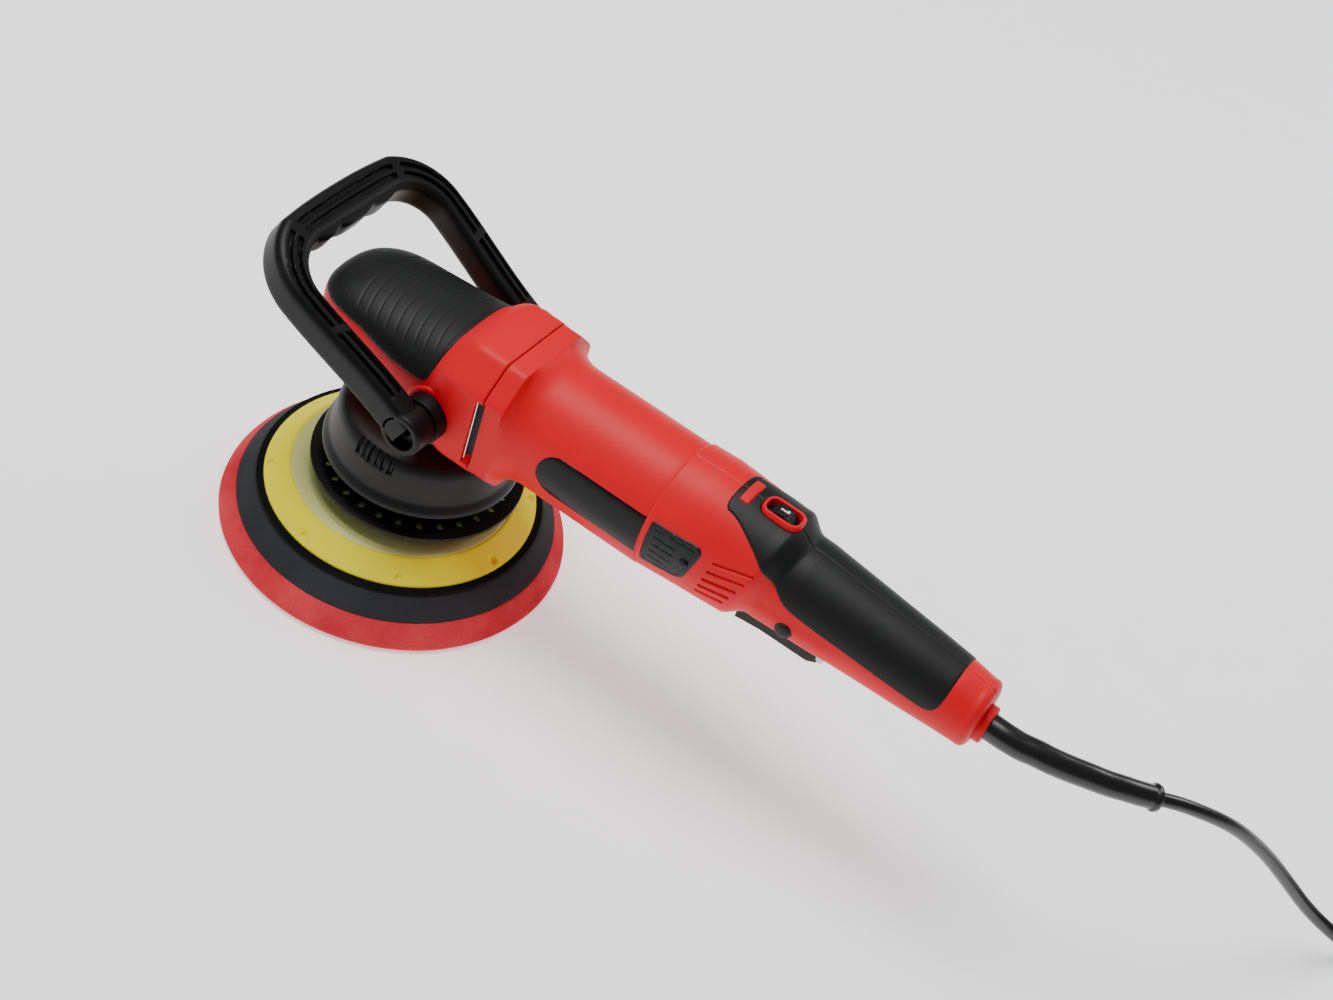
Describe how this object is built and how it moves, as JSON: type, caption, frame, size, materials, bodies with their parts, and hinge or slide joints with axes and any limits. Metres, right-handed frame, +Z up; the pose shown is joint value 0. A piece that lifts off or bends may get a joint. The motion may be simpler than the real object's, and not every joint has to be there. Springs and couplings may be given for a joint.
{
  "type": "dual action polisher",
  "caption": "Corded dual action polisher with a round foam pad on an orbiting backing plate, a barrel motor, a rear trigger handle and a looped front handle.",
  "frame": {"origin": "where the drive spindle's axis meets the pad's flat working face", "axes": "+Z up along the drive spindle, +X along the motor and rear handle to the cord, +Y to the operator's right when the tool points away"},
  "size_m": [0.7718, 0.3532, 0.1887],
  "materials": {
    "red_abs": "satin moulded",
    "grip_rubber": "matt moulded",
    "cast_aluminium": "as cast",
    "black_nylon": "satin moulded",
    "handle_nylon": "fine textured",
    "cover_nylon": "fine textured",
    "label_film": "gloss",
    "dark_screw_steel": "black oxide",
    "bearing_steel": "ground",
    "turned_steel": "turned",
    "spring_steel": "drawn",
    "lamination_steel": "stacked",
    "copper": "enamelled",
    "brass": "pressed",
    "carbon": "pressed",
    "circuit_board": "lacquered",
    "cord_pvc": "satin",
    "tie_nylon": "satin",
    "plate_resin": "satin moulded",
    "yellow_foam": "skinned foam",
    "hook_fabric": "hook and loop",
    "grey_foam": "open cell",
    "red_foam": "open cell"
  },
  "bodies": {
    "housing": {"head_cover": "red_abs", "head_grip": "grip_rubber", "gear_case": "cast_aluminium", "gear_case_screws": "dark_screw_steel", "shroud": "black_nylon", "spindle_upper_bearing": "bearing_steel", "spindle_lower_bearing": "bearing_steel", "front_bearing": "bearing_steel", "rear_bearing": "bearing_steel", "motor_housing": "red_abs", "stator_core": "lamination_steel", "stator_windings": "copper", "rear_shell_left": "red_abs", "rear_shell_right": "red_abs", "shell_screws": "dark_screw_steel", "rear_grip": "grip_rubber", "dial_bezel": "red_abs", "speed_board": "circuit_board", "switch_body": "black_nylon", "cord_clamp": "black_nylon", "brush_holders": "brass", "carbon_brushes": "carbon", "brush_springs": "spring_steel", "brush_cover_left": "cover_nylon", "brush_cover_right": "cover_nylon", "brush_cover_screws": "dark_screw_steel", "label_left": "label_film", "label_right": "label_film", "trigger_pin": "turned_steel", "trigger_spring": "spring_steel", "lock_spring": "spring_steel", "cord_sleeve": "cord_pvc", "cord": "cord_pvc", "cord_coil": "cord_pvc", "coil_tie": "tie_nylon", "plug": "cord_pvc"},
    "armature": {"armature_shaft": "turned_steel", "armature_core": "lamination_steel", "armature_windings": "copper", "commutator": "copper", "fan": "black_nylon", "pinion": "turned_steel"},
    "drive_spindle": {"spindle": "turned_steel", "crown_gear": "turned_steel", "counterweight": "turned_steel", "balance_disc": "black_nylon", "pad_bearing": "bearing_steel"},
    "pad": {"pad_spindle": "turned_steel", "backing_plate": "plate_resin", "backing_foam": "yellow_foam", "hook_layer": "hook_fabric", "pad_foam_base": "grey_foam", "pad_foam": "red_foam"},
    "front_handle": {"bail_handle": "handle_nylon", "bail_bolts": "dark_screw_steel"},
    "trigger": {"trigger": "black_nylon"},
    "lock_button": {"lock_button": "black_nylon"},
    "speed_dial": {"speed_dial": "black_nylon"}
  },
  "joints": [
    {"name": "spindle_spin", "type": "hinge", "parent": "housing", "child": "drive_spindle", "pos_m": [0, 0, 0.05], "axis": [0, 0, 1], "continuous": true},
    {"name": "armature_spin", "type": "hinge", "parent": "housing", "child": "armature", "pos_m": [0.1, 0, 0.131], "axis": [1, 0, 0], "continuous": true},
    {"name": "pad_spin", "type": "hinge", "parent": "drive_spindle", "child": "pad", "pos_m": [-0.00485, -0.00353, 0.05], "axis": [0, 0, 1], "continuous": true},
    {"name": "front_handle_tilt", "type": "hinge", "parent": "housing", "child": "front_handle", "pos_m": [0.0196, 0, 0.1245], "axis": [0, 1, 0], "range_deg": [-25, 35]},
    {"name": "trigger_pull", "type": "hinge", "parent": "housing", "child": "trigger", "pos_m": [0.252, 0, 0.112], "axis": [0, 1, 0], "range_deg": [0, 5], "stiffness_Nm_per_rad": 1, "springref_deg": -5.73, "deforming": ["trigger_spring"]},
    {"name": "lock_press", "type": "slide", "parent": "housing", "child": "lock_button", "axis": [0, 1, 0], "range_m": [0, 0.003], "stiffness_N_per_m": 300, "springref_m": -0.002},
    {"name": "dial_turn", "type": "hinge", "parent": "housing", "child": "speed_dial", "pos_m": [0.202, 0, 0.1605], "axis": [0, 1, 0], "range_deg": [0, 270]}
  ],
  "couplings": [
    {"joint": "armature_spin", "follows": "spindle_spin", "ratio": 3}
  ]
}
